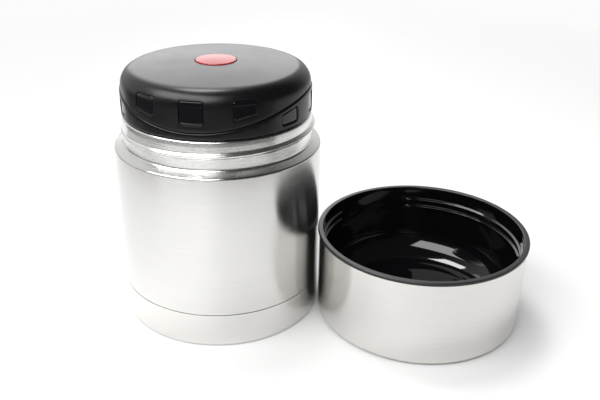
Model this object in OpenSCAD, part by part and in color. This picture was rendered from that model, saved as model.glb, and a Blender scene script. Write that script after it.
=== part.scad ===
// Insulated food container: a double-walled steel jar, a screw stopper with a
// push-button vent, and the cup that covers the stopper, set down beside the jar.
// Millimetres. +Z is up, the jar stands on z = 0 about the origin, the cup stands at +X.

/* [Jar] */
// Outer diameter of the jar's body
jar_d = 100; // [90:0.5:120]
// Height of the shoulder's outer edge
shoulder_h = 87.4; // [70:0.2:130]
// Height of the base cover, up to its seam
base_h = 17.1; // [13:0.1:24]
// Width of the step from the body in to the neck
shoulder_w = 4.4; // [4:0.1:6]
// Rise of the shoulder from its outer edge to the neck
shoulder_rise = 2; // [1.4:0.1:3]
// Height of the lip above the shoulder's outer edge
neck_h = 17.8; // [15:0.1:24]
// Width of the rolled lip
lip_w = 2; // [1.6:0.1:2.4]
// Depth of the straight mouth, from the lip down to the ledge that the gasket seals on
mouth_h = 17; // [13:0.1:20]
// Width of that ledge
ledge_w = 1.8; // [1.5:0.1:2.2]
// Thickness of the steel sheet
sheet_t = 0.5; // [0.4:0.05:0.7]
// Gap between the two walls, which holds the vacuum
vacuum_gap = 4.6; // [4:0.1:6]

/* [Stopper] */
// Height of the stopper above its lower edge
stopper_h = 23.8; // [21:0.1:28]
// How far the stopper's skirt hangs below the lip
skirt_drop = 1.7; // [1.2:0.1:2]
// Rise of the crown from its rounded edge to the middle
crown_rise = 2.35; // [1:0.05:4]
// Width of the rounded edge
edge_w = 7.5; // [5:0.1:9]
// Height of the rounded edge
edge_h = 8; // [6:0.1:9]
// Thickness of the outer mouldings
moulding_t = 1.3; // [1:0.05:1.6]
// Height of the seam's two low points above the lower edge
seam_low = 3.1; // [2:0.1:4]
// Rise of the seam from its low points to its high points
seam_rise = 10.26; // [6:0.1:11]
// Number of grip windows round the stopper
window_count = 12; // [8:4:16]
// Width of a window
window_w = 11; // [6:0.1:13]
// Height of a whole window
window_h = 14.8; // [12:0.1:15]
// Depth of the glossy panels in the windows, below the outer surface
window_recess = 0.4; // [0.3:0.05:0.8]
// Band left between the seam and the windows above it
upper_band = 3.1; // [2:0.1:4]
// Band left between the seam and the windows below it
lower_band = 2.4; // [1.6:0.1:3]
// Angle that the stopper is screwed to
stopper_angle = -1.5; // [-180:0.5:180]

/* [Vent button] */
// Diameter of the hole in the crown
button_hole_d = 20; // [16:0.5:24]
// How far the button is pressed
button_travel = 2; // [1:0.1:2.2]
// Diameter of the valve's stem
stem_d = 3.6; // [3:0.1:4]
// Diameter of the valve's seal
valve_d = 11; // [9:0.5:14]
// Diameter of the spring's wire
wire_d = 0.7; // [0.5:0.05:0.9]
// Turns of the spring
spring_turns = 6; // [4:1:8]

/* [Cup] */
// Diameter of the cup's rim
cup_d = 104.4; // [101:0.1:125]
// Height of the cup
cup_h = 45.5; // [42:0.1:60]
// Width of the rim
rim_w = 2.7; // [2.5:0.1:3.5]
// Height of the part of the rim that stands above the steel
rim_h = 1.7; // [1.2:0.1:3]
// How far the rim overhangs the steel
rim_overhang = 0.8; // [0.5:0.1:1]
// Thickness of the liner
liner_t = 1.2; // [0.8:0.05:1.25]
// Height of the liner's floor
cup_floor_h = 5; // [4:0.1:8]
// Rounding between the liner's floor and its wall
bowl_round = 16; // [8:0.5:18]

/* [Fits] */
// Radial running clearance of the stem in its guide, and of the gasket on the stopper
running_fit = 0.05; // [0.03:0.01:0.1]
// Gap between pieces that move against each other
moving_gap = 0.3; // [0.3:0.05:0.4]
// Gap between pieces that are fixed to each other
fixed_gap = 0.1; // [0.05:0.05:0.15]
// Open gap along the seam between the stopper's two mouldings
cover_gap = 0.3; // [0.15:0.05:0.5]

/* [Hidden] */
$fn = 180;

// Steel parts: round-overs of the sheet, and the pressed ring in each base
sheet_round = 1;
neck_round = 1.4;
press_round = 0.4;
press_h = 0.8;
press_w = 3.6;
press_share = 0.82;
seam_gap = 0.3;
seam_slope = 0.2;
shell_foot_h = 2;
floor_round = 9;
flask_round = 5;
flask_shoulder_h = 7.6;
ledge_h = 1.8;
neck_lean_w = 0.45;
neck_lean_h = 7.4;
foil_t = 0.15;
foil_margin = 3;

// Vacuum closure in the bottom of the vessel
port_r = 1.2;
dimple_r = 5;
dimple_h = 1;
seal_pellet_r = 2.6;
getter_r = 5;
getter_h = 1.4;
getter_share = 0.5;

// Stopper
skirt_inset = 0.25;
seam_step = 0.15;
side_draft = 0.37;
skirt_round = 0.4;
window_base = 2.2;
window_round = 0.9;
body_t = 1.6;
body_round = 1;
collar_lean_w = 1.6;
collar_lean_h = 3.8;
collar_below_crown = 6.4;
thread_room = 1.5;
gasket_h = 3.4;
gasket_w = 3.25;
gasket_lip = 0.8;
plug_base_t = 1.6;
plug_base_round = 1;
locating_h = 1.8;
locating_t = 1.3;
hole_chamfer = 0.4;

// Vent button and its valve
button_gap = 0.4;
button_round = 0.9;
button_proud = 0.2;
button_crown = 0.25;
button_t = 1.2;
button_flange_w = 1.6;
button_flange_h = 1.4;
well_depth = 5.6;
boss_t = 1.4;
vent_tube_t = 1.8;
vent_tube_h = 24;
vent_room = 1.4;
guide_h = 6;
vent_hole_r = 0.8;
valve_t = 2;
valve_lip = 0.3;
stem_head_t = 1;
stem_head_w = 1;
wire_sides = 6;
wire_steps = 14;
end_turn_share = 0.85;

// Cup
cup_round = 3;
rim_round = 0.5;
liner_draft = 1.5;
rib_t = 1.2;
rib_shares = [0.35, 0.65];

// Radii and heights that follow from the sizes above
jar_r = jar_d / 2;
tube_r = jar_r - sheet_t - fixed_gap;
neck_r = jar_r - shoulder_w;
skirt_r = neck_r - skirt_inset;
cover_r = skirt_r - seam_step;
crown_edge_r = cover_r - side_draft;
collar_r = crown_edge_r - moulding_t - fixed_gap;
skirt_inner_r = collar_r + fixed_gap;
lip_r = skirt_inner_r - moving_gap;
mouth_r = lip_r - lip_w;
ledge_r = mouth_r - ledge_w;
flask_r = jar_r - sheet_t - vacuum_gap - sheet_t;
plug_r = mouth_r - thread_room;
gasket_r = mouth_r - moving_gap;
seat_r = gasket_r - gasket_w - running_fit;
plug_base_r = ledge_r - 2 * moving_gap;
lip_z = shoulder_h + neck_h;
skirt_z = lip_z - skirt_drop;
neck_top_z = skirt_z - 2 * moving_gap;
ledge_z = lip_z - mouth_h;
crown_z = skirt_z + stopper_h;
flange_z = lip_z + moving_gap;
collar_z = crown_z - collar_below_crown;
gasket_z = ledge_z + moving_gap;
plug_step_z = gasket_z + gasket_h + moving_gap;
plug_bottom_z = ledge_z - plug_base_t;
vessel_z = shell_foot_h + sheet_t + dimple_h + sheet_t;
floor_z = vessel_z + vacuum_gap + sheet_t;
button_hole_r = button_hole_d / 2;
button_r = button_hole_r - button_gap;
button_z = crown_z + button_proud;
well_z = crown_z - well_depth;
button_flange_r = button_r + button_flange_w;
stem_r = stem_d / 2;
boss_r = stem_r + fixed_gap + boss_t;
vent_tube_r = stem_r + vent_room + vent_tube_t;
vent_tube_z = ledge_z + vent_tube_h;
valve_r = valve_d / 2;
valve_z = plug_bottom_z - moving_gap - valve_lip - valve_t;
cup_r = cup_d / 2;
cup_shell_r = cup_r - rim_overhang;
cup_x = jar_r + cup_r + moving_gap;
liner_r = cup_r - rim_w;
overrun = 1;
arc_step = 15;

// Outlines. A path is a list of corners [r, z, rounding radius]; its first and last radii are 0.
function flat(p) = [p[0], p[1]];
function unit(v) = v / norm(v);
function left_of(v) = [-v[1], v[0]];
function turned(v, angle) = [v[0] * cos(angle) - v[1] * sin(angle), v[0] * sin(angle) + v[1] * cos(angle)];
function heading(a, b) = unit(flat(b) - flat(a));
function bend(u, v) = atan2(u[0] * v[1] - u[1] * v[0], u * v);

// The points of one corner, as an arc of its radius
function corner(a, b, c) =
    let (
        u = heading(a, b),
        angle = bend(u, heading(b, c)),
        start = flat(b) - u * b[2] * tan(abs(angle) / 2),
        centre = start + left_of(u) * sign(angle) * b[2],
        steps = ceil(abs(angle) / arc_step)
    )
    b[2] == 0 || steps == 0 ? [flat(b)]
    : [for (i = [0:steps]) centre + turned(start - centre, angle * i / steps)];

function rounded(path) =
    let (last = len(path) - 1)
    [for (i = [0:last]) each i == 0 || i == last ? [flat(path[i])] : corner(path[i - 1], path[i], path[i + 1])];

// The same path moved to its left by t, with each rounding changed to stay parallel
function beside(path, t) =
    let (last = len(path) - 1)
    [for (i = [0:last])
        let (
            u = heading(path[max(i - 1, 0)], path[max(i, 1)]),
            v = heading(path[min(i, last - 1)], path[min(i + 1, last)]),
            spot = flat(path[i]) + (left_of(u) + left_of(v)) * t / (1 + u * v),
            radius = i == 0 || i == last ? 0 : max(0, path[i][2] - sign(bend(u, v)) * t)
        )
        [max(0, spot[0]), spot[1], radius]];

function reversed(list) = [for (i = [len(list) - 1:-1:0]) list[i]];

// A wall of thickness t, revolved, on the left of the path, or on its right if t is negative
module revolved_wall(path, t) {
    rotate_extrude() polygon(concat(rounded(path), reversed(rounded(beside(path, t)))));
}

// A plain ring
module ring(r_in, r_out, z_low, z_high) {
    rotate_extrude() translate([r_in, z_low]) square([r_out - r_in, z_high - z_low]);
}

// The underside of a pressed base, with its round groove, up to the outer corner
function base_path(r, corner_round, top_z) =
    let (press_r = r * press_share)
    [
        [0, 0, 0],
        [press_r, 0, press_round],
        [press_r + press_h, press_h, press_round],
        [press_r + press_w - press_h, press_h, press_round],
        [press_r + press_w, 0, press_round],
        [r, 0, corner_round],
        [r, top_z, 0]
    ];

// Jar

module outer_shell() {
    path = [
        [tube_r, shell_foot_h, 0],
        [tube_r, base_h + seam_gap - seam_slope, 0],
        [jar_r, base_h + seam_gap, seam_gap],
        [jar_r, shoulder_h, sheet_round],
        [neck_r, shoulder_h + shoulder_rise, neck_round],
        [neck_r, neck_top_z - neck_lean_h, neck_round],
        [neck_r - neck_lean_w, neck_top_z - moving_gap, sheet_round],
        [lip_r, neck_top_z, sheet_t],
        [lip_r, lip_z - lip_w / 2, 0]
    ];
    color("silver") revolved_wall(path, sheet_t);
}

module base_cover() {
    color("lightgray") revolved_wall(base_path(jar_r, sheet_round, base_h), sheet_t);
}

// The food space's wall, with the ledge for the gasket and the lip rolled over the outer shell
module inner_flask() {
    path = [
        [0, floor_z, 0],
        [flask_r, floor_z, floor_round],
        [flask_r, ledge_z - ledge_h - flask_shoulder_h, flask_round],
        [ledge_r, ledge_z - ledge_h, sheet_round],
        [ledge_r, ledge_z, press_round],
        [mouth_r, ledge_z, 0],
        [mouth_r, lip_z, lip_w / 2],
        [lip_r, lip_z, lip_w / 2],
        [lip_r, lip_z - lip_w / 2, 0]
    ];
    color("gainsboro") revolved_wall(path, -sheet_t);
}

// Closes the outer shell from below, with the evacuation port in a dimple
module vessel_bottom() {
    path = [
        [port_r, vessel_z - dimple_h, 0],
        [dimple_r - dimple_h, vessel_z - dimple_h, press_round],
        [dimple_r, vessel_z, press_round],
        [tube_r - sheet_t, vessel_z, sheet_round],
        [tube_r - sheet_t, shell_foot_h, 0]
    ];
    color("darkgray") revolved_wall(path, -sheet_t);
}

module vacuum_seal() {
    port_z = vessel_z - dimple_h - sheet_t;
    color("dimgray") {
        translate([0, 0, shell_foot_h]) cylinder(r = seal_pellet_r, h = port_z - shell_foot_h);
        translate([0, 0, shell_foot_h]) cylinder(r = port_r, h = vessel_z - dimple_h - shell_foot_h);
    }
}

module getter() {
    color("slategray") translate([0, flask_r * getter_share, vessel_z]) cylinder(r = getter_r, h = getter_h);
}

module reflective_foil() {
    foil_r = flask_r + sheet_t + fixed_gap / 2;
    foil_top_z = ledge_z - ledge_h - flask_shoulder_h - foil_margin;
    color("peru") ring(foil_r, foil_r + foil_t, floor_z + floor_round, foil_top_z);
}

// Gasket

module stopper_gasket() {
    r_in = gasket_r - gasket_w;
    z_top = gasket_z + gasket_h;
    waist_z = gasket_z + gasket_h / 2;
    color("whitesmoke") rotate_extrude() polygon([
        [r_in, gasket_z],
        [gasket_r - gasket_lip, gasket_z],
        [gasket_r, gasket_z + gasket_lip],
        [gasket_r - gasket_lip, waist_z],
        [gasket_r, z_top - gasket_lip],
        [gasket_r - gasket_lip, z_top],
        [r_in, z_top]
    ]);
}

// Stopper. The seam is the cut of one large lying cylinder, low in front and behind, high at the sides.
seam_cut_r = (cover_r * cover_r + seam_rise * seam_rise) / (2 * seam_rise);
seam_axis_z = skirt_z + seam_low + seam_cut_r;

module seam_cutter(grow) {
    translate([0, 0, seam_axis_z]) rotate([90, 0, 0])
        cylinder(r = seam_cut_r + grow, h = 2 * (cover_r + overrun), center = true);
}

// Outline of the cover: drafted side, elliptical edge, then a shallow crown that meets it smoothly
edge_r = crown_edge_r - edge_w;
crown_slope = 2 * crown_rise / edge_r;
join_angle = atan2(edge_h, edge_w * crown_slope);
join_r = edge_r + edge_w * cos(join_angle);
edge_z = crown_z - crown_rise - edge_h * sin(join_angle);
edge_steps = 12;
crown_steps = 6;
function crown_height(r) = crown_z - crown_rise * pow(r / join_r, 2);
cover_path = concat(
    [[cover_r, skirt_z, 0]],
    [for (i = [0:edge_steps])
        let (angle = join_angle * i / edge_steps)
        [edge_r + edge_w * cos(angle), edge_z + edge_h * sin(angle), 0]],
    [for (i = [1:crown_steps])
        let (r = join_r + (button_hole_r - join_r) * i / crown_steps)
        [r, crown_height(r), 0]]
);

// A whole window, or with an inset the panel that stands in it
module rounded_window(inset) {
    half_w = window_w / 2 - inset;
    round_r = window_round - inset;
    z_low = skirt_z + window_base + inset;
    z_high = skirt_z + window_base + window_h - inset;
    translate([-half_w, z_low + round_r]) square([2 * half_w, z_high - z_low - 2 * round_r]);
    translate([round_r - half_w, z_low]) square([2 * (half_w - round_r), z_high - z_low]);
    for (x = [round_r - half_w, half_w - round_r], z = [z_low + round_r, z_high - round_r])
        translate([x, z]) circle(r = round_r);
}

module window_prism(angle, inset) {
    r_start = collar_r - collar_lean_w - body_t;
    rotate([0, 0, angle]) translate([r_start, 0, 0]) rotate([90, 0, 90])
        linear_extrude(cover_r + overrun - r_start) rounded_window(inset);
}

// A window lies above the seam where the seam runs below the window's middle, and below it elsewhere
window_angles = [for (i = [0:window_count - 1]) 90 + i * 360 / window_count];
window_middle_z = skirt_z + window_base + window_h / 2;
function seam_height(angle) = seam_axis_z - sqrt(pow(seam_cut_r, 2) - pow(cover_r * cos(angle), 2));
upper_angles = [for (angle = window_angles) if (seam_height(angle) < window_middle_z) angle];
lower_angles = [for (angle = window_angles) if (seam_height(angle) >= window_middle_z) angle];

module upper_windows(inset) {
    intersection() {
        union() for (angle = upper_angles) window_prism(angle, inset);
        seam_cutter(-upper_band - inset);
    }
}

module lower_windows(inset) {
    difference() {
        union() for (angle = lower_angles) window_prism(angle, inset);
        seam_cutter(lower_band + inset);
    }
}

module stopper_cover() {
    color([0.12, 0.12, 0.13]) rotate([0, 0, stopper_angle]) difference() {
        union() {
            intersection() {
                revolved_wall(cover_path, moulding_t);
                seam_cutter(0);
            }
            ring(button_hole_r, button_hole_r + moulding_t, well_z, crown_height(button_hole_r) - moulding_t / 2);
        }
        upper_windows(0);
        translate([0, 0, crown_height(button_hole_r) - hole_chamfer])
            cylinder(r1 = button_hole_r, r2 = button_hole_r + hole_chamfer + overrun, h = hole_chamfer + overrun);
    }
}

module stopper_skirt() {
    path = [
        [skirt_r, crown_z, 0],
        [skirt_r, skirt_z, skirt_round],
        [skirt_inner_r, skirt_z, skirt_round],
        [skirt_inner_r, crown_z, 0]
    ];
    color([0.08, 0.08, 0.09]) rotate([0, 0, stopper_angle]) difference() {
        rotate_extrude() polygon(rounded(path));
        seam_cutter(cover_gap);
        lower_windows(0);
    }
}

// The space from the middle of the collar's wall out to just under the cover's surface
collar_middle_r = collar_r - body_t / 2;
panel_outline = concat(
    [for (spot = beside(cover_path, window_recess)) flat(spot)],
    [[collar_middle_r - collar_lean_w, collar_z], [collar_middle_r, collar_z - collar_lean_h],
        [collar_middle_r, skirt_z]]
);

// Inner moulding: a glossy collar with a panel in each window, the flange over the lip and the screw plug
module stopper_body() {
    path = [
        [collar_r - collar_lean_w, collar_z, 0],
        [collar_r, collar_z - collar_lean_h, 2 * body_t],
        [collar_r, flange_z, body_round],
        [plug_r, flange_z, body_round],
        [plug_r, plug_step_z, body_round],
        [seat_r, plug_step_z, 0],
        [seat_r, ledge_z, 0]
    ];
    color([0.05, 0.05, 0.06]) rotate([0, 0, stopper_angle]) {
        revolved_wall(path, -body_t);
        intersection() {
            rotate_extrude() polygon(panel_outline);
            union() {
                upper_windows(fixed_gap);
                lower_windows(fixed_gap);
            }
        }
    }
}

// Floor of the plug, with the vent tube that guides the stem and carries the spring
module plug_base() {
    vent_r = stem_r + vent_room;
    guide_r = stem_r + running_fit;
    guide_z = vent_tube_z - guide_h;
    locating_r = seat_r - body_t - fixed_gap;
    path = [
        [vent_r, plug_bottom_z, 0],
        [plug_base_r, plug_bottom_z, plug_base_round],
        [plug_base_r, ledge_z, 0],
        [locating_r, ledge_z, 0],
        [locating_r, ledge_z + locating_h, 0],
        [locating_r - locating_t, ledge_z + locating_h, 0],
        [locating_r - locating_t, ledge_z, 0],
        [vent_tube_r, ledge_z, 0],
        [vent_tube_r, vent_tube_z, 0],
        [guide_r, vent_tube_z, 0],
        [guide_r, guide_z, 0],
        [vent_r, guide_z, 0]
    ];
    color([0.07, 0.07, 0.08]) rotate([0, 0, stopper_angle]) difference() {
        rotate_extrude() polygon(rounded(path));
        translate([0, 0, guide_z - 2 * vent_hole_r]) rotate([0, 90, 0])
            cylinder(r = vent_hole_r, h = 2 * (vent_tube_r + overrun), center = true);
    }
}

module insulation_core() {
    r_in = vent_tube_r + fixed_gap;
    low_r = seat_r - body_t - fixed_gap;
    high_r = plug_r - body_t - fixed_gap;
    low_z = ledge_z + locating_h + fixed_gap;
    step_z = plug_step_z + body_t;
    color("khaki") {
        ring(r_in, low_r, low_z, step_z + fixed_gap);
        ring(r_in, high_r, step_z + fixed_gap, flange_z);
    }
}

// Vent button and its valve

// Its boss follows the stem down, and stops just short of the vent tube when the button is pressed
module vent_button() {
    flange_top_z = well_z - moving_gap;
    boss_z = vent_tube_z + button_travel + moving_gap;
    path = [
        [0, button_z, 0],
        [button_r, button_z - button_crown, button_round],
        [button_r, flange_top_z - button_flange_h, 0]
    ];
    color("crimson") {
        revolved_wall(path, -button_t);
        ring(button_r - button_t, button_flange_r, flange_top_z - button_flange_h, flange_top_z);
        ring(stem_r + fixed_gap, boss_r, boss_z, button_z - button_t / 2);
    }
}

module valve_stem() {
    foot_z = valve_z - stem_head_t;
    top_z = button_z - button_crown - button_t - fixed_gap;
    color("gray") {
        translate([0, 0, foot_z]) cylinder(r = stem_r, h = top_z - foot_z);
        translate([0, 0, foot_z]) cylinder(r = stem_r + stem_head_w, h = stem_head_t);
    }
}

module valve_seal() {
    lip_top_z = valve_z + valve_t + valve_lip;
    color("ivory") {
        ring(stem_r, valve_r, valve_z, valve_z + valve_t);
        ring(valve_r - 2 * valve_lip, valve_r, valve_z, lip_top_z);
    }
}

// A coil of round wire: close turns at both ends, open turns between them
module valve_spring() {
    wire_r = wire_d / 2;
    coil_r = boss_r + moving_gap + wire_r;
    z_low = vent_tube_z + wire_r;
    z_high = button_z - button_crown - button_t - fixed_gap - wire_r;
    steps = spring_turns * wire_steps;
    close_rise = 2 * wire_d * end_turn_share;
    open_rise = z_high - z_low - close_rise;
    rise = function (turn)
        turn < 1 ? turn * close_rise / 2
        : turn > spring_turns - 1 ? open_rise + close_rise / 2 + (turn - spring_turns + 1) * close_rise / 2
        : close_rise / 2 + open_rise * (turn - 1) / (spring_turns - 2);
    points = [for (i = [0:steps], k = [0:wire_sides - 1])
        let (
            turn = i / wire_steps,
            around = 360 * turn,
            r = coil_r + wire_r * cos(360 * k / wire_sides)
        )
        [r * cos(around), r * sin(around), z_low + rise(turn) + wire_r * sin(360 * k / wire_sides)]];
    sides = [for (i = [0:steps - 1], k = [0:wire_sides - 1])
        let (a = i * wire_sides + k, b = i * wire_sides + (k + 1) % wire_sides)
        each [[a, b, b + wire_sides], [a, b + wire_sides, a + wire_sides]]];
    first = [for (k = [1:wire_sides - 2]) [0, k + 1, k]];
    end = steps * wire_sides;
    last = [for (k = [1:wire_sides - 2]) [end, end + k, end + k + 1]];
    color("lightsteelblue") polyhedron(points, concat(sides, first, last));
}

// Cup

module cup_shell() {
    color("silver") translate([cup_x, 0, 0])
        revolved_wall(base_path(cup_shell_r, cup_round, cup_h - rim_h), sheet_t);
}

module cup_liner() {
    bowl = [
        [0, cup_floor_h, 0],
        [liner_r - liner_draft, cup_floor_h, bowl_round],
        [liner_r, cup_h - rim_h / 2, 0]
    ];
    rim = [
        [liner_r, cup_h - rim_h, 0],
        [cup_r, cup_h - rim_h, rim_round],
        [cup_r, cup_h, rim_round],
        [liner_r, cup_h, rim_round],
        [liner_r, cup_h - rim_h, 0]
    ];
    color([0.06, 0.06, 0.07]) translate([cup_x, 0, 0]) {
        revolved_wall(bowl, -liner_t);
        rotate_extrude() polygon(rounded(rim));
        for (share = rib_shares)
            ring(liner_r * share, liner_r * share + rib_t, sheet_t, cup_floor_h - liner_t / 2);
    }
}

outer_shell();
base_cover();
inner_flask();
vessel_bottom();
vacuum_seal();
getter();
reflective_foil();
stopper_gasket();
stopper_cover();
stopper_skirt();
stopper_body();
plug_base();
insulation_core();
vent_button();
valve_stem();
valve_seal();
valve_spring();
cup_shell();
cup_liner();
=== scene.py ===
import math
import bmesh
import bpy
import numpy as np
from mathutils import Matrix, Vector
from mathutils.geometry import delaunay_2d_cdt


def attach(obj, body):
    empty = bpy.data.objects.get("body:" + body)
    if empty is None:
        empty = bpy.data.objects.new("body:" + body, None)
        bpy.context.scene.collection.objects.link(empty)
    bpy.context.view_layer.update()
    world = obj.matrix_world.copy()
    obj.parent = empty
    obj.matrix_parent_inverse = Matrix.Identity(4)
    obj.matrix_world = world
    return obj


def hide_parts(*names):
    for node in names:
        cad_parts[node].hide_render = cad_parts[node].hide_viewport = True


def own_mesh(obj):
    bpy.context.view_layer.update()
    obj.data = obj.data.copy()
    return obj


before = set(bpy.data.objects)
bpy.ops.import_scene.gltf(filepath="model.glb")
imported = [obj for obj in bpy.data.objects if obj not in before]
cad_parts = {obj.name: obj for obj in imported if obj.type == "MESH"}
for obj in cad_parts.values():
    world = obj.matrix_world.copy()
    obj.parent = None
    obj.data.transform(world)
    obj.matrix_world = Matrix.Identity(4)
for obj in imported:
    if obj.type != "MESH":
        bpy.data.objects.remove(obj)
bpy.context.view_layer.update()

# Every length below is in millimetres, in the frame of the solids, unless it says otherwise.
MM = 0.001
STEPS, FINE_STEPS = 288, 360    # columns of a turned surface, and of one with a bead or thread
ARC_STEP = 6.0                  # degrees turned by each piece of a rounded corner
SHEET = 0.5                     # thickness of the steel sheet
FACING = math.radians(-76.57)   # direction from the jar's axis towards the camera
CUP = (102.5, 0.0)              # the cup's axis
THREAD_LEAD = 4.1               # of the neck's bead and the cup's thread
PLUG_LEAD, PLUG_STARTS = 12.0, 3   # of the thread between plug and mouth
LID_TURN = math.radians(-1.5)   # how far the stopper is screwed in
WHITE = (0.965, 0.965, 0.965, 1)   # of the backdrop


# Camera, fitted to the photograph's circles and given in millimetres and degrees

CAMERA_PLACE = (79.77, -334.05, 218.32)
CAMERA_TURN = (6.69, 25.66, 0.865)   # heading from +Y, pitch down and roll
CAMERA_LENS, CAMERA_SENSOR = 44.515, 36


def add_camera():
    heading, pitch, roll = (math.radians(angle) for angle in CAMERA_TURN)
    forward = Vector((-math.sin(heading) * math.cos(pitch), math.cos(heading) * math.cos(pitch),
                      -math.sin(pitch)))
    right = Vector((math.cos(heading), math.sin(heading), 0))
    up = right.cross(forward)
    right, up = right * math.cos(roll) + up * math.sin(roll), up * math.cos(roll) - right * math.sin(roll)
    data = bpy.data.cameras.new("camera")
    data.sensor_width, data.sensor_fit, data.lens = CAMERA_SENSOR, "HORIZONTAL", CAMERA_LENS
    data.clip_start, data.clip_end = 0.01, 50
    camera = bpy.data.objects.new("camera", data)
    bpy.context.scene.collection.objects.link(camera)
    turn = Matrix((right, up, -forward)).transposed().to_4x4()
    camera.matrix_world = Matrix.Translation(Vector(CAMERA_PLACE) * MM) @ turn
    bpy.context.scene.camera = camera


# Shader nodes

def node(tree, kind, inputs=None, **settings):
    """A new node. Each input is a value, or another node's socket to link."""
    made = tree.nodes.new(kind)
    for key, value in settings.items():
        setattr(made, key, value)
    for key, value in (inputs or {}).items():
        if isinstance(value, bpy.types.NodeSocket):
            tree.links.new(value, made.inputs[key])
        else:
            made.inputs[key].default_value = value
    return made


def new_material(name):
    material = bpy.data.materials.new(name)
    material.use_nodes = True
    tree = material.node_tree
    tree.nodes.clear()
    return material, tree


def math_node(tree, operation, a, b=0.0):
    return node(tree, "ShaderNodeMath", {0: a, 1: b}, operation=operation).outputs[0]


def vector_node(tree, operation, a, b):
    return node(tree, "ShaderNodeVectorMath", {0: a, 1: b}, operation=operation).outputs[0]


def scaled(tree, vector, factor):
    return node(tree, "ShaderNodeVectorMath", {0: vector, "Scale": factor}, operation="SCALE").outputs[0]


def ranged(tree, value, low, high, to_low, to_high):
    return node(tree, "ShaderNodeMapRange", {0: value, 1: low, 2: high, 3: to_low, 4: to_high}).outputs[0]


def noise(tree, vector, scale, detail=2.0, rough=0.5):
    return node(tree, "ShaderNodeTexNoise",
                {"Vector": vector, "Scale": scale, "Detail": detail, "Roughness": rough}).outputs[0]


def object_place(tree, centre=(0.0, 0.0)):
    """Place on the object in millimetres, measured from a vertical axis."""
    place = node(tree, "ShaderNodeTexCoord").outputs["Object"]
    place = vector_node(tree, "MULTIPLY", place, (1000, 1000, 1000))
    return vector_node(tree, "ADD", place, (-centre[0], -centre[1], 0))


# Light: a room lighter on one side, a wide fill, and soft boxes behind, overhead and in front to the left

LIGHT_AIM = (0.03, 0, 0.08)   # metres
LIGHTER_WAY, LIGHTER_DROP = 2.3, -0.22   # azimuth in radians and slope of the room's lighter side
LIGHTS = [   # name, azimuth, elevation, then distance, width and height in metres, radiance, seen in gloss
    ("back_box", 108, 30, 1.5, 1.0, 1.35, 1.75, True),
    ("top_box", 128, 70, 1.3, 0.4, 0.4, 16.0, True),
    ("key_box", -126, 47, 1.3, 1.65, 0.72, 6.5, True),
    ("fill", -36, 46, 2.4, 3.0, 3.0, 1.1, False),
]


def add_light(name, azimuth, elevation, distance, width, height, radiance, in_gloss):
    """A soft rectangular light, given by its direction from the object and its brightness."""
    data = bpy.data.lights.new(name, "AREA")
    data.shape, data.size, data.size_y = "RECTANGLE", width, height
    data.energy = radiance * math.pi * width * height
    light = bpy.data.objects.new(name, data)
    bpy.context.scene.collection.objects.link(light)
    a, e = math.radians(azimuth), math.radians(elevation)
    way = Vector((math.cos(a) * math.cos(e), math.sin(a) * math.cos(e), math.sin(e)))
    light.location = Vector(LIGHT_AIM) + way * distance
    light.rotation_euler = way.to_track_quat("Z", "Y").to_euler()
    light.visible_camera = False
    light.visible_glossy = in_gloss


def add_world():
    world = bpy.data.worlds.new("studio")
    bpy.context.scene.world = world
    world.use_nodes = True
    tree = world.node_tree
    tree.nodes.clear()
    way = node(tree, "ShaderNodeTexCoord").outputs["Generated"]
    # The room is lighter behind the object and to its left than in front on the right
    side = Vector((math.cos(LIGHTER_WAY), math.sin(LIGHTER_WAY), LIGHTER_DROP)).normalized()
    towards = node(tree, "ShaderNodeVectorMath", {0: way, 1: side}, operation="DOT_PRODUCT").outputs["Value"]
    strength = ranged(tree, towards, -0.15, 0.55, 0.05, 0.82)
    lit = node(tree, "ShaderNodeBackground", {"Color": (1, 1, 1, 1), "Strength": strength})
    seen = node(tree, "ShaderNodeBackground", {"Color": WHITE, "Strength": 1.0})
    camera_ray = node(tree, "ShaderNodeLightPath").outputs["Is Camera Ray"]
    mix = node(tree, "ShaderNodeMixShader", {0: camera_ray, 1: lit.outputs[0], 2: seen.outputs[0]})
    node(tree, "ShaderNodeOutputWorld", {"Surface": mix.outputs[0]})


# Stage: the floor, and a dark sheet that only reflections show, painting shade into them

FLOOR_SIDE, FLOOR_Z = 8000, -0.1
SWEEP_NEAR, SWEEP_FAR = 300, 800   # radii between which the floor turns into the white sweep
SHADE_SHEET_FAR, SHADE_SHEET_Z = 1500, 1
SHADE_SHEET_EDGE = [   # degrees and near radius
    (-205, 320), (-190, 305), (-175, 298), (-141, 298), (-134, 345), (-117, 350), (-106, 338),
    (-95, 324), (-80, 312), (-62, 308), (-36, 305), (-20, 305), (-10, 360),
]


def add_sheet(name, corners, faces, material):
    """A flat piece of the stage, which is no part of the object."""
    mesh = bpy.data.meshes.new(name)
    mesh.from_pydata([Vector(corner) * MM for corner in corners], [], faces)
    mesh.materials.append(material)
    plane = bpy.data.objects.new(name, mesh)
    bpy.context.scene.collection.objects.link(plane)
    return plane


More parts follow.
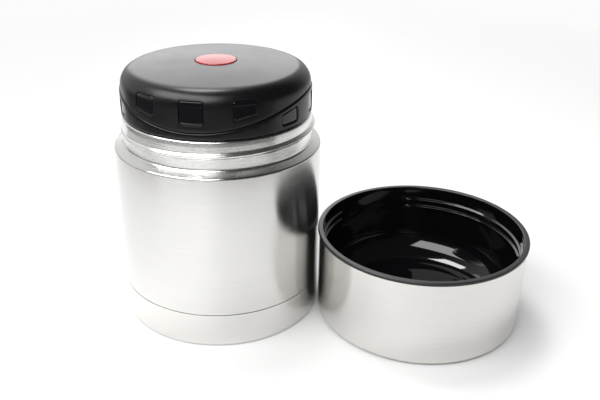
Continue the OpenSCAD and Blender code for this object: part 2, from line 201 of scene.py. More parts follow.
def add_floor():
    """A pale floor with painted shade, darker to the left and a little darker towards the cup, that runs out
    into an even white sweep.
    """
    material, tree = new_material("floor")
    place = object_place(tree, (50.0, 0.0))
    across = node(tree, "ShaderNodeSeparateXYZ", {0: place}).outputs[0]
    # Painted shade: the tone rises from the far left up to the jar and falls a little towards the cup
    tone = math_node(tree, "ADD", ranged(tree, noise(tree, place, 0.004, 3.0), 0.3, 0.7, -0.01, 0.01),
                     ranged(tree, across, -300, -60, 0.55, 0.73))
    tone = math_node(tree, "MULTIPLY", tone, ranged(tree, across, -60, 30, 1.0, 0.9))
    colour = node(tree, "ShaderNodeCombineXYZ", {0: tone, 1: tone, 2: tone}).outputs[0]
    surface = node(tree, "ShaderNodeBsdfPrincipled",
                   {"Base Color": colour, "Roughness": 0.6, "Specular IOR Level": 0.2})
    distance = node(tree, "ShaderNodeVectorMath", {0: place}, operation="LENGTH").outputs["Value"]
    camera_ray = node(tree, "ShaderNodeLightPath").outputs["Is Camera Ray"]
    far = math_node(tree, "MULTIPLY", ranged(tree, distance, SWEEP_NEAR, SWEEP_FAR, 0.0, 1.0), camera_ray)
    sweep = node(tree, "ShaderNodeEmission", {"Color": WHITE, "Strength": 1.0})
    mix = node(tree, "ShaderNodeMixShader", {0: far, 1: surface.outputs[0], 2: sweep.outputs[0]})
    node(tree, "ShaderNodeOutputMaterial", {"Surface": mix.outputs[0]})
    corners = [(x * FLOOR_SIDE, y * FLOOR_SIDE, FLOOR_Z) for x, y in ((-1, -1), (1, -1), (1, 1), (-1, 1))]
    add_sheet("floor", corners, [(0, 1, 2, 3)], material)


def add_painted_shade_sheet():
    """A dark sheet round the bright patch that the object stands on, seen only in reflections: painted shade
    on the ground there.
    """
    material, tree = new_material("painted_shade_sheet")
    weave = noise(tree, object_place(tree), 0.5, 2.0)
    shade = ranged(tree, weave, 0.3, 0.7, 0.012, 0.02)
    colour = node(tree, "ShaderNodeCombineXYZ", {0: shade, 1: shade, 2: shade}).outputs[0]
    surface = node(tree, "ShaderNodeBsdfPrincipled", {"Base Color": colour, "Roughness": 0.9})
    node(tree, "ShaderNodeOutputMaterial", {"Surface": surface.outputs[0]})
    corners = [(r * math.cos(math.radians(a)), r * math.sin(math.radians(a)), SHADE_SHEET_Z)
               for a, near in SHADE_SHEET_EDGE for r in (near, SHADE_SHEET_FAR)]
    faces = [(2 * i, 2 * i + 1, 2 * i + 3, 2 * i + 2) for i in range(len(SHADE_SHEET_EDGE) - 1)]
    sheet = add_sheet("painted_shade_sheet", corners, faces, material)
    # Painted shade: only glossy reflections see this dark sheet
    sheet.visible_camera = sheet.visible_diffuse = sheet.visible_shadow = False


# Materials

BRUSH_STREAK = 0.03   # how far the scratches spread a steel's roughness
PAINTED_LIGHT_TONE, BRIGHT_ROUGH = 0.26, 0.06   # painted light that lifts the tone, and what the finer finish adds to roughness
FACE_SLOPE = 0.73   # share of the radius that moves the marks on along a flat face


def finish_material(tree, inputs):
    shader = node(tree, "ShaderNodeBsdfPrincipled", inputs)
    node(tree, "ShaderNodeOutputMaterial", {"Surface": shader.outputs[0]})


def turned_place(tree, place, around, across):
    """Coordinates that change slowly round the axis and fast across it, for marks that run round."""
    parts = node(tree, "ShaderNodeSeparateXYZ", {0: place})
    flat = node(tree, "ShaderNodeCombineXYZ", {0: parts.outputs[0], 1: parts.outputs[1], 2: 0.0}).outputs[0]
    radius = node(tree, "ShaderNodeVectorMath", {0: flat}, operation="LENGTH").outputs["Value"]
    way = node(tree, "ShaderNodeVectorMath", {0: flat}, operation="NORMALIZE").outputs[0]
    along = math_node(tree, "SUBTRACT", parts.outputs[2], math_node(tree, "MULTIPLY", radius, FACE_SLOPE))
    lift = node(tree, "ShaderNodeCombineXYZ",
                {0: 0.0, 1: 0.0, 2: math_node(tree, "MULTIPLY", along, across)}).outputs[0]
    return vector_node(tree, "ADD", scaled(tree, way, around), lift)


def steel(name, colour, roughness, centre=(0.0, 0.0), bump=0.10, anisotropic=0.75, finish_and_painted_light_above=1000.0):
    """Steel brushed round its axis: fine scratches, faint bands of tone and a little wear.

    Above a given height its finish is finer and a little rougher, and its colour is painted lighter: painted
    light."""
    material, tree = new_material(name)
    place = object_place(tree, centre)
    fine = noise(tree, turned_place(tree, place, 3.0, 5.0), 1.0, 3.0, 0.65)
    broad = noise(tree, turned_place(tree, place, 1.6, 1.3), 1.0, 2.0)
    blotch = noise(tree, place, 0.035, 3.0)
    height = node(tree, "ShaderNodeSeparateXYZ", {0: place}).outputs[2]
    finish_and_painted_light = ranged(tree, height, finish_and_painted_light_above - 1, finish_and_painted_light_above + 1, 0.0, 1.0)
    tone = math_node(tree, "ADD", ranged(tree, fine, 0.2, 0.8, 0.95, 1.05),
                     ranged(tree, broad, 0.3, 0.7, -0.02, 0.02))
    # Painted light: above the given height the tone is lifted
    tone = math_node(tree, "ADD", tone, math_node(tree, "MULTIPLY", finish_and_painted_light, PAINTED_LIGHT_TONE))
    scratch = ranged(tree, fine, 0.25, 0.75, roughness - BRUSH_STREAK, roughness + BRUSH_STREAK)
    rough = math_node(tree, "ADD", scratch, ranged(tree, blotch, 0.3, 0.7, -0.01, 0.015))
    rough = math_node(tree, "ADD", rough, math_node(tree, "MULTIPLY", finish_and_painted_light, BRIGHT_ROUGH))
    relief = node(tree, "ShaderNodeBump", {"Strength": bump, "Distance": 0.00002, "Height": fine}).outputs[0]
    tangent = node(tree, "ShaderNodeTangent", direction_type="RADIAL", axis="Z").outputs[0]
    finish_material(tree, {"Base Color": scaled(tree, colour, tone), "Metallic": 1.0, "Roughness": rough,
                           "Normal": relief, "Tangent": tangent, "Anisotropic": anisotropic,
                           "Anisotropic Rotation": 0.25})
    return material


def plastic(name, colour, roughness, grain=2.5, bump=0.1, specular=0.5, blotch=0.03):
    """Moulded plastic: a fine grain left by the mould, with slightly uneven gloss from handling."""
    material, tree = new_material(name)
    place = object_place(tree)
    pits = noise(tree, place, grain, 3.0, 0.6)
    wear = noise(tree, place, 0.06, 4.0, 0.6)
    tone = ranged(tree, wear, 0.3, 0.7, 0.88, 1.12)
    rough = math_node(tree, "ADD", ranged(tree, wear, 0.3, 0.7, roughness - blotch, roughness + blotch),
                      ranged(tree, pits, 0.3, 0.7, -blotch, blotch))
    relief = node(tree, "ShaderNodeBump", {"Strength": bump, "Distance": 0.00005, "Height": pits}).outputs[0]
    finish_material(tree, {"Base Color": scaled(tree, colour, tone), "Roughness": rough, "Normal": relief,
                           "Specular IOR Level": specular})
    return material


# The neck above 90 mm carries painted light that lightens its steel
BRUSHED = steel("brushed_shell", (0.70, 0.694, 0.678), 0.21, finish_and_painted_light_above=90.0)
BASE_STEEL = steel("base_steel", (0.73, 0.722, 0.70), 0.24)
INNER_STEEL = steel("inner_steel", (0.64, 0.64, 0.64), 0.20, bump=0.03, anisotropic=0.3)
CUP_STEEL = steel("cup_steel", (0.70, 0.69, 0.668), 0.20, CUP)
MATTE = plastic("matte_black", (0.0030, 0.0031, 0.0036), 0.31, bump=0.25, specular=0.38)
SATIN = plastic("satin_black", (0.0028, 0.0028, 0.0033), 0.24, bump=0.12, specular=0.38)
GLOSS = plastic("gloss_black", (0.0035, 0.0035, 0.0045), 0.08, grain=0.6, bump=0.02, blotch=0.015)
LINER = plastic("liner_black", (0.0028, 0.0026, 0.0032), 0.06, grain=0.5, bump=0.015, blotch=0.012)
RIM = plastic("liner_rim", (0.0090, 0.0085, 0.0095), 0.34, bump=0.15)
RED = plastic("red_plastic", (0.27, 0.006, 0.008), 0.20, bump=0.03, specular=0.31)
SILICONE = plastic("silicone", (0.80, 0.80, 0.77), 0.40, bump=0.1)
VALVE = plastic("valve_plastic", (0.55, 0.55, 0.56), 0.40, bump=0.1)
FOAM = plastic("foam", (0.80, 0.74, 0.52), 0.85, grain=1.2, bump=0.8)
BRAZE = steel("braze", (0.50, 0.46, 0.38), 0.45, anisotropic=0.0)
GETTER = steel("getter_metal", (0.33, 0.34, 0.36), 0.6, anisotropic=0.0)
FOIL = steel("foil", (0.85, 0.85, 0.86), 0.18, anisotropic=0.2)
WIRE = steel("spring_steel", (0.6, 0.6, 0.62), 0.25, anisotropic=0.0)


# Outlines: corners as (r, z, rounding radius), turned about an axis

def corner_arc(a, b, c, radius):
    """Points of the corner at b between a and c, rounded to a radius."""
    a, b, c = (np.array(p[:2], float) for p in (a, b, c))
    u, v = (b - a) / np.linalg.norm(b - a), (c - b) / np.linalg.norm(c - b)
    angle = math.atan2(u[0] * v[1] - u[1] * v[0], u @ v)
    if radius == 0 or abs(angle) < 1e-4:
        return [tuple(b)]
    start = b - u * radius * math.tan(abs(angle) / 2)
    side = math.copysign(radius, angle)
    centre = start + np.array((-u[1], u[0])) * side
    count = max(2, math.ceil(math.degrees(abs(angle)) / ARC_STEP))
    points = []
    for i in range(count + 1):
        t = angle * i / count
        w = start - centre
        points.append((centre[0] + w[0] * math.cos(t) - w[1] * math.sin(t),
                       centre[1] + w[0] * math.sin(t) + w[1] * math.cos(t)))
    return points


def rounded(path, closed=False):
    """The path as plain points, with an arc at each corner that has a radius."""
    count, points = len(path), []
    for i, p in enumerate(path):
        radius = p[2] if len(p) > 2 else 0
        if not closed and i in (0, count - 1):
            points.append(tuple(p[:2]))
        else:
            points += corner_arc(path[i - 1], p, path[(i + 1) % count], radius)
    return points


def beside(path, t):
    """The path moved to its left by t, with each rounding changed to stay parallel."""
    moved, last = [], len(path) - 1
    flat = [np.array(p[:2], float) for p in path]
    for i, p in enumerate(path):
        u = flat[max(i, 1)] - flat[max(i - 1, 0)]
        v = flat[min(i + 1, last)] - flat[min(i, last - 1)]
        u, v = u / np.linalg.norm(u), v / np.linalg.norm(v)
        left = np.array((-u[1] - v[1], u[0] + v[0])) * t / (1 + u @ v)
        turn = math.copysign(1, u[0] * v[1] - u[1] * v[0])
        radius = 0 if i in (0, last) or len(p) < 3 else max(0.0, p[2] - turn * t)
        moved.append((max(0.0, flat[i][0] + left[0]), flat[i][1] + left[1], radius))
    return moved


def wall(path, t):
    """Closed outline of a sheet of thickness t on the path's left, or its right where t is negative."""
    outline = rounded(path) + rounded(beside(path, t))[::-1]
    return outline if t > 0 else outline[::-1]


def filled_in(outline, step, z_low, z_high, r_high=math.inf):
    """The closed outline with extra points where its steps between two heights are long."""
    points, count = [], len(outline)
    for i, p in enumerate(outline):
        points.append(p)
        q = outline[(i + 1) % count]
        if min(p[1], q[1]) > z_high or max(p[1], q[1]) < z_low or max(p[0], q[0]) > r_high:
            continue
        extra = int(math.dist(p, q) / step)
        points += [(p[0] + (q[0] - p[0]) * k / (extra + 1), p[1] + (q[1] - p[1]) * k / (extra + 1))
                   for k in range(1, extra + 1)]
    return points


def revolve(outline, centre=(0.0, 0.0), warp=None, closed=True, steps=STEPS, start=0.0):
    """Vertices and faces of an outline turned about a vertical axis.

    warp(angle, r, z) returns the change of r."""
    r, z = np.array([p[0] for p in outline]), np.array([p[1] for p in outline])
    count = len(outline)
    angle = start + np.arange(steps) * 2 * math.pi / steps
    angles, radii = np.meshgrid(angle, r, indexing="ij")
    heights = np.broadcast_to(z, radii.shape)
    if warp is not None:
        radii = radii + warp(angles, radii, heights)
    xyz = np.stack((centre[0] + radii * np.cos(angles), centre[1] + radii * np.sin(angles), heights), -1)
    index = np.arange(steps * count).reshape(steps, count)
    index[:, r == 0] = index[0, r == 0]
    faces = []
    for j in range(count if closed else count - 1):
        k = (j + 1) % count
        if r[j] == 0 and r[k] == 0:
            continue
        a, b = index[:, j], index[:, k]
        d, c = np.roll(a, -1), np.roll(b, -1)
        for quad in np.stack((a, d, c, b), -1).tolist():
            faces.append(list(dict.fromkeys(quad)))
    used = np.unique(np.concatenate([np.array(f) for f in faces]))
    renumber = np.zeros(steps * count, int)
    renumber[used] = np.arange(len(used))
    return xyz.reshape(-1, 3)[used], [[int(renumber[i]) for i in f] for f in faces]


def make_piece(name, geometry, body, material, replaces=(), sharp=35):
    """A piece of the scene, with the edges that turn by more than sharp degrees left hard."""
    vertices, faces = geometry
    mesh = bpy.data.meshes.new(name)
    mesh.from_pydata((np.array(vertices) * MM).tolist(), [], faces)
    mesh.validate()
    mesh.shade_smooth()
    mesh.set_sharp_from_angle(angle=math.radians(sharp))
    mesh.materials.append(material)
    piece = bpy.data.objects.new(name, mesh)
    bpy.context.scene.collection.objects.link(piece)
    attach(piece, body)
    if replaces:
        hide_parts(*replaces)
    return piece


def smooth(x):
    """0 below 0, 1 above 1, and a soft step between."""
    x = np.clip(x, 0, 1)
    return x * x * (3 - 2 * x)


# Jar

JAR_R, SHOULDER_Z = 50, 87.4
BASE_TOP, TUBE_R = 17.1, 49.4             # of the base cover, and of the shell inside it
NECK_R, NECK_Z = 45.6, 89.4
FLASK_R, FLASK_Z, FLASK_TOP = 44.4, 9.1, 78.8
LEDGE_R, LEDGE_Z = 39.43, 88.2            # where the gasket seats
MOUTH_R, LIP_R, LIP_Z = 41.23, 43.23, 105.2
RIM_Z = 104.2                             # where the shell meets the flask's rolled lip
BEAD_Z, BEAD_HALF = 96.3, 1.5
THREAD_H = 0.85                           # of the coarse thread
PRESS_SHARE, PRESS_H, PRESS_W, PRESS_R = 0.82, 0.8, 3.6, 0.4   # groove pressed in a base


def bead(angle, r, z):
    """The rolled bead that climbs once round the neck, with a crisp lower edge."""
    round_it = (angle - FACING + math.pi) % (2 * math.pi) - math.pi
    crest = BEAD_Z + THREAD_LEAD * round_it / (2 * math.pi)
    d = (z - crest) / BEAD_HALF
    shape = np.where(d < 0, 1 - np.abs(d) ** 2.4, np.cos(np.clip(d, 0, 1) * math.pi / 2) ** 2)
    shape = np.where(np.abs(d) < 1, shape, 0)
    height = 0.75 + 0.7 * smooth(round_it / math.pi + 0.5)
    ends = smooth((round_it + math.pi) / 0.6) * smooth((math.pi - round_it) / 0.5)
    return shape * height * ends


def coarse_thread(z_low, z_high, phase, wall_r, sign):
    """Three-start thread on the walls near a radius: soft ridges that run in and out at the ends."""
    pitch, run_in = PLUG_LEAD / PLUG_STARTS, 1.2

    def warp(angle, r, z):
        past_crest = (z - phase - PLUG_LEAD * angle / (2 * math.pi) + pitch / 2) % pitch - pitch / 2
        shape = smooth((1 - np.abs(past_crest / (pitch * 0.24))) * 1.6)
        ends = smooth((z - z_low) / run_in) * smooth((z_high - z) / run_in)
        return np.where(np.abs(r - wall_r) < SHEET, shape * ends * THREAD_H * sign, 0)
    return warp


def base_path(r, corner, top_z):
    """Underside of a pressed base, with its round groove, up to the outer corner."""
    press = r * PRESS_SHARE
    return [(0, 0), (press, 0, PRESS_R), (press + PRESS_H, PRESS_H, PRESS_R),
            (press + PRESS_W - PRESS_H, PRESS_H, PRESS_R), (press + PRESS_W, 0, PRESS_R),
            (r, 0, corner), (r, top_z)]


def make_jar():
    path = [(TUBE_R, 2), (TUBE_R, 17.2), (JAR_R, 17.4, 0.3), (JAR_R, SHOULDER_Z, 1), (NECK_R, NECK_Z, 1.4),
            (NECK_R, 95.5, 3), (45.45, 100.5, 4), (45.15, 102.6, 0.9), (LIP_R, 102.9, 0.5), (LIP_R, RIM_Z)]
    outline = filled_in(wall(path, SHEET), 0.25, 92, 100)
    make_piece("jar_shell", revolve(outline, warp=bead, steps=FINE_STEPS), "jar", BRUSHED,
               ["outer_shell"])
    outline = wall(base_path(JAR_R, 1, BASE_TOP), SHEET)
    make_piece("base", revolve(outline), "jar", BASE_STEEL, ["base_cover"])

    # The mouth's wall has points below and above its thread, between which it is filled in
    path = [(0, FLASK_Z), (FLASK_R, FLASK_Z, 9), (FLASK_R, FLASK_TOP, 5), (LEDGE_R, 86.4, 1),
            (LEDGE_R, LEDGE_Z, 0.4), (MOUTH_R, LEDGE_Z, 0), (MOUTH_R, 92, 0), (MOUTH_R, 104, 0),
            (MOUTH_R, LIP_Z, 1), (LIP_R, LIP_Z, 0.99), (LIP_R, RIM_Z)]
    outline = filled_in(wall(path, -SHEET), 0.15, 93, 103)
    thread = coarse_thread(92.5, 103.5, 2.0, MOUTH_R + SHEET / 2, -1)
    make_piece("flask", revolve(outline, warp=thread), "jar", INNER_STEEL, ["inner_flask"])


# Stopper

COVER_R, SKIRT_R, COLLAR_R, PLUG_R = 45.2, 45.35, 43.43, 39.73
SKIRT_Z, CROWN_Z, CROWN_DROP = 103.5, 126.75, 1.78
EDGE_R, EDGE_Z = 44.83, 117.0             # where the cover's side meets its rounded edge
EDGE_W, EDGE_H = 7.5, 8                   # half-axes of that edge's ellipse
COVER_T, HOLE_R, LIP = 1.3, 9.85, 0.25    # cover's wall, hole round the button, rounding of the hole
WELL_R, WELL_Z = 11.3, 121.7              # of the cover's collar that guides the button
SEAM_LOW, SEAM_RISE, SEAM_GAP = 3.1, 10.26, 0.3
SEAM_R = (COVER_R ** 2 + SEAM_RISE ** 2) / (2 * SEAM_RISE)   # of the large lying cylinder that cuts the seam
SEAM_Z = SKIRT_Z + SEAM_LOW + SEAM_R
WRAP = 45.0   # radius at which the wrapped-out patterns below are measured
BAND_LOW, BAND_HIGH = 104.6, 122.4        # heights between which skirt and cover are pierced bands

WINDOW_HALF, WINDOW_CORNER = 5.5, 1.65
WINDOW_LOW, WINDOW_HIGH = 105.7, 120.5
WINDOW_ABOVE, WINDOW_BELOW = 3.1, 2.4     # least distance above and below the seam
WINDOW_COUNT, FIRST_WINDOW = 12, 90       # number round the stopper, and degrees to one's middle
LINE_TURN = 15                            # degrees to a gap between windows, where the wrapped line starts
COVER_EDGE, SKIRT_EDGE = 0.25, 0.65       # roundings of the cut edges
PANEL_GAP, PANEL_EDGE = 0.1, 0.5          # gap round a panel, and rounding of its edge
PANEL_DEPTH, PANEL_REACH = 0.2, 2.1       # of its face and of its back, below the cover's face
BAND_SPACING, PANEL_SPACING = 1.5, 1.2    # of the points that fill a curved face


def lid_profile():
    """The cover's outer profile, dense, from its lower edge to the hole for the button."""
    steps, edge_steps = 30, 40
    side = [(COVER_R + (EDGE_R - COVER_R) * k / steps, SKIRT_Z + (EDGE_Z - SKIRT_Z) * k / steps)
            for k in range(steps)]
    middle_r = EDGE_R - EDGE_W
    join = math.atan2(EDGE_H, EDGE_W * 2 * CROWN_DROP / middle_r)
    turns = [join * k / edge_steps for k in range(edge_steps + 1)]
    edge = [(middle_r + EDGE_W * math.cos(turn), EDGE_Z + EDGE_H * math.sin(turn)) for turn in turns]
    join_r = edge[-1][0]
    radii = [join_r + (HOLE_R - join_r) * k / steps for k in range(1, steps + 1)]
    crown = [(r, CROWN_Z - CROWN_DROP * (r / join_r) ** 2) for r in radii]
    return side + edge + crown


class Profile:
    """Places on a turned wall by distance round it, distance up its profile and depth into it."""

    def __init__(self, points):
        self.points = np.array(points, float)
        steps = np.diff(self.points, axis=0)
        self.s = np.concatenate(([0], np.cumsum(np.hypot(steps[:, 0], steps[:, 1]))))
        slope = np.gradient(self.points, self.s, axis=0)
        slope /= np.linalg.norm(slope, axis=1)[:, None]
        self.normal = np.stack((slope[:, 1], -slope[:, 0]), -1)

    def at_height(self, z):
        return np.interp(z, self.points[:, 1], self.s)

    def flat(self, s, depth):
        r, z, nr, nz = (np.interp(s, self.s, column) for column in (*self.points.T, *self.normal.T))
        length = np.hypot(nr, nz)
        return r - depth * nr / length, z - depth * nz / length

    def place(self, u, s, depth):
        r, z = self.flat(s, depth)
        angle = np.asarray(u) / WRAP + LID_TURN
        return np.stack((r * np.cos(angle), r * np.sin(angle), z), -1)


def seam_line(u, above=0.0):
    """Height of the line that lies a given distance above the seam."""
    return SEAM_Z - np.sqrt((SEAM_R - above) ** 2 - (COVER_R * np.cos(np.asarray(u) / WRAP)) ** 2)


def window_outline(middle, above, profile):
    """A grip window in wrapped-out (u, s), on one side of the seam, with rounded corners."""
    side = WRAP * math.asin(WINDOW_HALF / WRAP)
    us = np.linspace(-side, side, 7)
    low, high = np.full(7, WINDOW_LOW), np.full(7, WINDOW_HIGH)
    if above:
        low = np.maximum(low, seam_line(middle + us, WINDOW_ABOVE))
    else:
        high = np.minimum(high, seam_line(middle + us, -WINDOW_BELOW))
    lower = [(middle + u, profile.at_height(z), 0) for u, z in zip(us, low)]
    upper = [(middle + u, profile.at_height(z), 0) for u, z in zip(us, high)]
    for line in (lower, upper):
        line[0], line[-1] = (*line[0][:2], WINDOW_CORNER), (*line[-1][:2], WINDOW_CORNER)
    points = rounded(lower + upper[::-1], closed=True)
    dense = []
    for i, p in enumerate(points):
        q = points[(i + 1) % len(points)]
        extra = int(math.dist(p, q) / 0.8)
        dense += [(p[0] + (q[0] - p[0]) * k / (extra + 1), p[1] + (q[1] - p[1]) * k / (extra + 1))
                  for k in range(extra + 1)]
    return np.array(dense)


def grown(loop, distance, closed=True):
    """A loop or line of points moved to its right: outwards for a loop that turns left."""
    if closed:
        tangent = np.roll(loop, -1, 0) - np.roll(loop, 1, 0)
    else:
        tangent = np.gradient(loop, axis=0)
    tangent /= np.linalg.norm(tangent, axis=1)[:, None]
    return loop + distance * np.stack((tangent[:, 1], -tangent[:, 0]), -1)


def inside(loop, points):
    """Which of the points lie inside the loop."""
    x, y = points[:, 0], points[:, 1]
    hit = np.zeros(len(points), bool)
    for (x1, y1), (x2, y2) in zip(loop, np.roll(loop, -1, 0)):
        crosses = (y1 > y) != (y2 > y)
        hit ^= crosses & (x < (x2 - x1) * (y - y1) / (y2 - y1 + 1e-12) + x1)
    return hit


def filled(border, holes, spacing):
    """Points and triangles that fill a border round its holes, even enough to follow a curved wall."""
    loops = [border, *holes]
    edges, start = [], 0
    for loop in loops:
        edges += [(start + i, start + (i + 1) % len(loop)) for i in range(len(loop))]
        start += len(loop)
    # Points on a staggered grid, clear of every edge
    low, high = border.min(0), border.max(0)
    grid = np.array([(u, s)
                     for row, s in enumerate(np.arange(low[1], high[1], spacing * 0.87))
                     for u in np.arange(low[0] + (row % 2) * spacing / 2, high[0], spacing)])
    edge_points = np.concatenate(loops)
    keep = inside(border, grid)
    for hole in holes:
        keep &= ~inside(hole, grid)
    near = np.array([np.min(np.hypot(*(edge_points - g).T)) for g in grid])
    grid = grid[keep & (near > spacing * 0.45)]
    flat = np.concatenate((edge_points, grid))
    found, _, triangles, _, _, _ = delaunay_2d_cdt([Vector(p) for p in flat], edges, [], 1, 1e-6)
    found = np.array([tuple(v) for v in found])
    middles = np.array([found[list(t)].mean(0) for t in triangles])
    good = inside(border, middles)
    for hole in holes:
        good &= ~inside(hole, middles)
    return found, [list(t) for t, g in zip(triangles, good) if g]


def quarter(radius, count):
    """A quarter round from a wall's face into its edge, as (distance from the edge, depth)."""
    turns = np.linspace(0, math.pi / 2, count)
    return [(radius * (1 - math.sin(turn)), radius * (1 - math.cos(turn))) for turn in turns]


def panel(profile, outline, depth, edge, reach):
    """A panel that fills a window: a face at a depth below the wall, with a rounded edge and deep sides."""
    face = grown(outline, -edge)
    points, triangles = filled(face, [], PANEL_SPACING)
    back_points, back_triangles = filled(outline, [], PANEL_SPACING)
    vertices = [profile.place(points[:, 0], points[:, 1], depth),
                profile.place(back_points[:, 0], back_points[:, 1], reach)]
    faces = triangles + [[i + len(points) for i in t] for t in back_triangles]
    total, count = len(points) + len(back_points), len(outline)
    arc = [(inset, depth + sunk) for inset, sunk in quarter(edge, 6)]
    for inset, ring_depth in arc + [(0.0, reach)]:
        ring = grown(outline, -inset)
        vertices.append(profile.place(ring[:, 0], ring[:, 1], ring_depth))
    for k in range(len(arc)):
        for i in range(count):
            a, b = total + k * count + i, total + k * count + (i + 1) % count
            faces.append([a, b, b + count, a + count])
    return np.concatenate(vertices), faces


def pierced_band(profile, thickness, low_line, high_line, cut_below, windows, edge):
    """A turned wall with windows through it, both faces, every cut edge rounded.

    low_line and high_line are the band's limits as (u, s) over one turn, each with the same first and last
    height. One is a cut edge, with a rounded rim. The other is open, to be welded to its moulding."""
    low = grown(low_line, -edge, False) if cut_below else low_line
    high = high_line if cut_below else grown(high_line, edge, False)
    low[[0, -1], 0] = high[[0, -1], 0] = low_line[[0, -1], 0]
    holes = [grown(window, edge) for window in windows]

    left_u, right_u = low_line[0, 0], low_line[-1, 0]
    rows = int((high[0, 1] - low[0, 1]) / BAND_SPACING)
    heights = [low[0, 1] + (high[0, 1] - low[0, 1]) * k / (rows + 1) for k in range(1, rows + 1)]
    left = np.array([(left_u, h) for h in heights]).reshape(-1, 2)
    right = np.array([(right_u, h) for h in heights]).reshape(-1, 2)
    border = np.concatenate((low, right, high[::-1], left[::-1]))
    found, triangles = filled(border, holes, BAND_SPACING)
    count = len(found)
    vertices = [profile.place(found[:, 0], found[:, 1], depth) for depth in (0.0, thickness)]
    faces = triangles + [[i + count for i in t] for t in triangles]
    total = 2 * count

    def rim(line, inward, closed):
        nonlocal total
        arc = quarter(edge, 5)
        rings = arc + [(d, thickness - depth) for d, depth in arc[::-1]]
        count = len(line)
        for d, depth in rings:
            moved = grown(line, inward * d, closed)
            if not closed:
                moved[[0, -1], 0] = line[[0, -1], 0]
            vertices.append(profile.place(moved[:, 0], moved[:, 1], depth))
        for k in range(len(rings) - 1):
            for i in range(count if closed else count - 1):
                a, b = total + k * count + i, total + k * count + (i + 1) % count
                faces.append([a, b, b + count, a + count])
        total += len(rings) * count

    for window in windows:
        rim(window, 1, True)
    if cut_below:
        rim(low_line, -1, False)
    else:
        rim(high_line, 1, False)
    return np.concatenate(vertices), faces


def joined(*parts):
    """One closed shape from parts that share their borders, with every face turned outwards."""
    shape = bmesh.new()
    for vertices, faces in parts:
        made = [shape.verts.new(v) for v in np.array(vertices).tolist()]
        for face in faces:
            if len(set(face)) > 2:
                shape.faces.new([made[i] for i in face])
    bmesh.ops.remove_doubles(shape, verts=shape.verts, dist=0.004)
    bmesh.ops.dissolve_degenerate(shape, edges=shape.edges, dist=0.004)
    bmesh.ops.recalc_face_normals(shape, faces=shape.faces)
    shape.verts.index_update()
    result = [tuple(v.co) for v in shape.verts], [[v.index for v in f.verts] for f in shape.faces]
    shape.free()
    return result


# The wrapped-out line round the stopper, the windows' middles on it, and those of the windows above the seam
LINE_START = LINE_TURN / 180 * math.pi * WRAP
LINE = LINE_START + np.linspace(0, 2 * math.pi * WRAP, STEPS + 1)
MIDDLES = [math.radians(LINE_TURN + (FIRST_WINDOW - LINE_TURN + 360 // WINDOW_COUNT * k) % 360) * WRAP
           for k in range(WINDOW_COUNT)]
UPPER = [m for m in MIDDLES if seam_line(m) < (WINDOW_LOW + WINDOW_HIGH) / 2]


def limit(profile, heights):
    """A band's limit at the given heights, as (u, s) round the stopper."""
    return np.stack((LINE, np.broadcast_to(profile.at_height(heights), LINE.shape)), -1)


def make_cover(profile):
    windows = [window_outline(m, True, profile) for m in MIDDLES if m in UPPER]
    low, high = limit(profile, seam_line(LINE)), limit(profile, BAND_HIGH)
    band = pierced_band(profile, COVER_T, low, high, True, windows, COVER_EDGE)

    top_s = float(profile.at_height(BAND_HIGH))
    rows = np.concatenate(([top_s], profile.s[profile.s > top_s + 0.15]))
    outer = np.stack(profile.flat(rows, 0.0), -1)
    inner = np.stack(profile.flat(rows, COVER_T), -1)
    inner = inner[inner[:, 0] > WELL_R + 0.15]
    top_z = outer[-1][1]
    lip = [(HOLE_R + inset, top_z - sunk) for inset, sunk in quarter(LIP, 6)]
    well = [(HOLE_R, top_z), (HOLE_R, WELL_Z, 0.2), (WELL_R, WELL_Z, 0.2), (WELL_R, inner[-1][1])]
    outer = outer[outer[:, 0] > HOLE_R + LIP + 0.05]
    line = [tuple(p) for p in outer] + lip + rounded(well)[1:] + [tuple(p) for p in inner[::-1]]
    dome = revolve(line, closed=False, start=LINE_START / WRAP + LID_TURN)
    make_piece("lid_cover", joined(band, dome), "stopper", MATTE, ["stopper_cover"])


def make_skirt():
    profile = Profile([(SKIRT_R, SKIRT_Z + 0.25 * k) for k in range(70)])
    windows = [window_outline(m, False, profile) for m in MIDDLES if m not in UPPER]
    low, high = limit(profile, BAND_LOW), limit(profile, seam_line(LINE, -SEAM_GAP))
    inner_r = COLLAR_R + 0.1
    band = pierced_band(profile, SKIRT_R - inner_r, low, high, False, windows, SKIRT_EDGE)
    line = [(inner_r, BAND_LOW), (inner_r, SKIRT_Z, 0.4), (SKIRT_R, SKIRT_Z, 0.4), (SKIRT_R, BAND_LOW)]
    foot = revolve(rounded(line), closed=False, start=LINE_START / WRAP + LID_TURN)
    make_piece("lid_skirt", joined(band, foot), "stopper", SATIN, ["stopper_skirt"])


def make_lid_body(cover):
    """The inner moulding, with the screw plug and a glossy panel behind each window."""
    path = [(41.83, 120.9), (COLLAR_R, 117.1, 3.2), (COLLAR_R, 105.5, 1), (PLUG_R, 105.5, 1),
            (PLUG_R, 92.2, 1), (37.63, 92.2, 0), (37.63, LEDGE_Z)]
    moulding = filled_in(wall(path, -1.6), 0.15, 93, 104.5)
    thread = coarse_thread(93.2, 104.2, 0.0, PLUG_R, 1)
    outlines = [grown(window_outline(m, m in UPPER, cover), -PANEL_GAP) for m in MIDDLES]
    panels = [panel(cover, outline, PANEL_DEPTH, PANEL_EDGE, PANEL_REACH) for outline in outlines]
    make_piece("lid_body", joined(revolve(moulding, warp=thread), *panels), "stopper", GLOSS,
               ["stopper_body"])


def make_stopper():
    cover = Profile(lid_profile())
    make_cover(cover)
    make_skirt()
    make_lid_body(cover)


BUTTON_R, BUTTON_Z, BUTTON_DROP = 9.6, 127.5, 0.5   # drop: how much lower the crown's edge lies


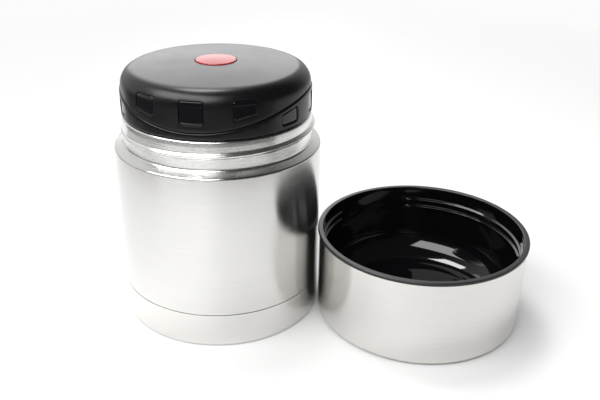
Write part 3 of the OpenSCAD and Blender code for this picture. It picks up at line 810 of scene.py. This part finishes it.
def make_button():
    """A crowned cap with a flange that keeps it in its well, and a bored boss below for the stem."""
    steps = 12
    crown = [(BUTTON_R * k / steps, BUTTON_Z - BUTTON_DROP * (k / steps) ** 2, 0) for k in range(steps)]
    cap = rounded(crown + [(BUTTON_R, BUTTON_Z - BUTTON_DROP, 0.4), (BUTTON_R, 121.4)])
    flange = [(11.1, 121.4), (11.2, 121.3), (11.2, 120.1), (11.1, 120.0), (8.4, 120.0), (8.4, 126.05)]
    boss = [(3.3, 126.05), (3.3, 114.6), (3.2, 114.5), (1.9, 114.5), (1.9, 126.6), (0, 126.6)]
    line = cap + flange + boss
    make_piece("button", revolve(line[::-1], steps=144), "vent_valve", RED, ["vent_button"])


def coil_rise(t, turns, close, open_rise):
    """Rise after t turns of a spring whose first and last turns lie closed."""
    if t < 1:
        return t * close / 2
    if t > turns - 1:
        return open_rise + close / 2 + (t - turns + 1) * close / 2
    return close / 2 + open_rise * (t - 1) / (turns - 2)


def make_spring():
    """The valve's return spring."""
    wire, coil, turns, sides, per_turn = 0.35, 3.95, 6, 12, 36
    low, high = 112.2 + wire, 125.95 - wire
    close = 2 * (2 * wire) * 0.85   # rise of the two closed turns
    open_rise = high - low - close
    vertices, faces = [], []
    count = turns * per_turn
    for i in range(count + 1):
        t = i / per_turn
        way, rise = 2 * math.pi * t, coil_rise(t, turns, close, open_rise)
        for k in range(sides):
            a = 2 * math.pi * k / sides
            r = coil + wire * math.cos(a)
            vertices.append((r * math.cos(way), r * math.sin(way), low + rise + wire * math.sin(a)))
    for i in range(count):
        for k in range(sides):
            a, b = i * sides + k, i * sides + (k + 1) % sides
            faces.append([a, a + sides, b + sides, b])
    faces.append(list(range(sides)))
    faces.append(list(range(count * sides, (count + 1) * sides))[::-1])
    spring = make_piece("spring", (vertices, faces), "stopper", WIRE, ["valve_spring"])
    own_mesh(spring)


# Cup

CUP_R, CUP_RIM_R = 51.4, 52.18
CUP_RIM_Z, CUP_TOP = 43.8, 45.5
BORE_R = 49.5                             # of the liner at its top
RIDGE_Z, RIDGE_HALF, RIDGE_H = 38.2, 0.75, 1.1
RIDGE_START = 84                          # degrees at which the upper ridge lies at RIDGE_Z
BREAK, BREAK_HALF = 123, 24               # degrees: middle and half width of the break in the thread


def cup_thread(angle, r, z):
    """A single-start inner thread of two turns, broken where the mould parts."""
    where = np.degrees(angle) % 360
    crest = RIDGE_Z + THREAD_LEAD * (where - RIDGE_START) / 360
    ridge = 0
    for turn in (-1, 0):
        d = (z - crest - THREAD_LEAD * turn) / RIDGE_HALF
        ridge = np.maximum(ridge, np.cos(np.clip(d, -1, 1) * math.pi / 2) ** 2)
    broken = smooth((np.abs((where - BREAK + 180) % 360 - 180) - BREAK_HALF) / 3)
    return np.where(r < BORE_R + 0.2, -RIDGE_H * ridge * broken, 0)


def make_cup():
    outline = wall(base_path(CUP_R, 3, CUP_RIM_Z), SHEET)
    make_piece("cup_steel", revolve(outline, CUP), "cup", CUP_STEEL, ["cup_shell"])

    # The bore has points below and above its thread, between which it is filled in
    path = [(0, 3.8), (49.2, 3.8, 17.2), (50.7, CUP_RIM_Z, 0), (CUP_RIM_R, CUP_RIM_Z, 0.5),
            (CUP_RIM_R, CUP_TOP, 0.5), (BORE_R, CUP_TOP, 0.5), (49.4, 43.0, 0), (49.378, 42.4, 0),
            (49.002, 32.2, 0), (48.0, 5.0, 16.0), (0, 5.0)]
    outline = filled_in(rounded(path), 0.1, 33, 42, r_high=BORE_R)
    liner = make_piece("cup_inside", revolve(outline, CUP, warp=cup_thread, steps=FINE_STEPS), "cup",
                       LINER, ["cup_liner"], sharp=75)
    # The rim is duller than the bowl
    liner.data.materials.append(RIM)
    for face in liner.data.polygons:
        reach = math.hypot(face.center.x - CUP[0] * MM, face.center.y - CUP[1] * MM)
        on_rim = face.center.z > (CUP_RIM_Z - 0.1) * MM and reach > (BORE_R + 0.1) * MM
        face.material_index = int(on_rim)


def dress(name, material):
    """Gives a hidden solid its material."""
    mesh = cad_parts[name].data
    mesh.materials.clear()
    mesh.materials.append(material)


add_camera()
add_world()
for light in LIGHTS:
    add_light(*light)
add_floor()
add_painted_shade_sheet()

make_jar()
make_stopper()
make_button()
make_spring()
make_cup()
for name, material in {
    "vessel_bottom": INNER_STEEL, "vacuum_seal": BRAZE, "getter": GETTER, "reflective_foil": FOIL,
    "stopper_gasket": SILICONE, "plug_base": SATIN, "insulation_core": FOAM, "valve_stem": VALVE,
    "valve_seal": SILICONE,
}.items():
    dress(name, material)

scene = bpy.context.scene
scene.view_settings.view_transform = "Standard"
scene.cycles.use_denoising = True
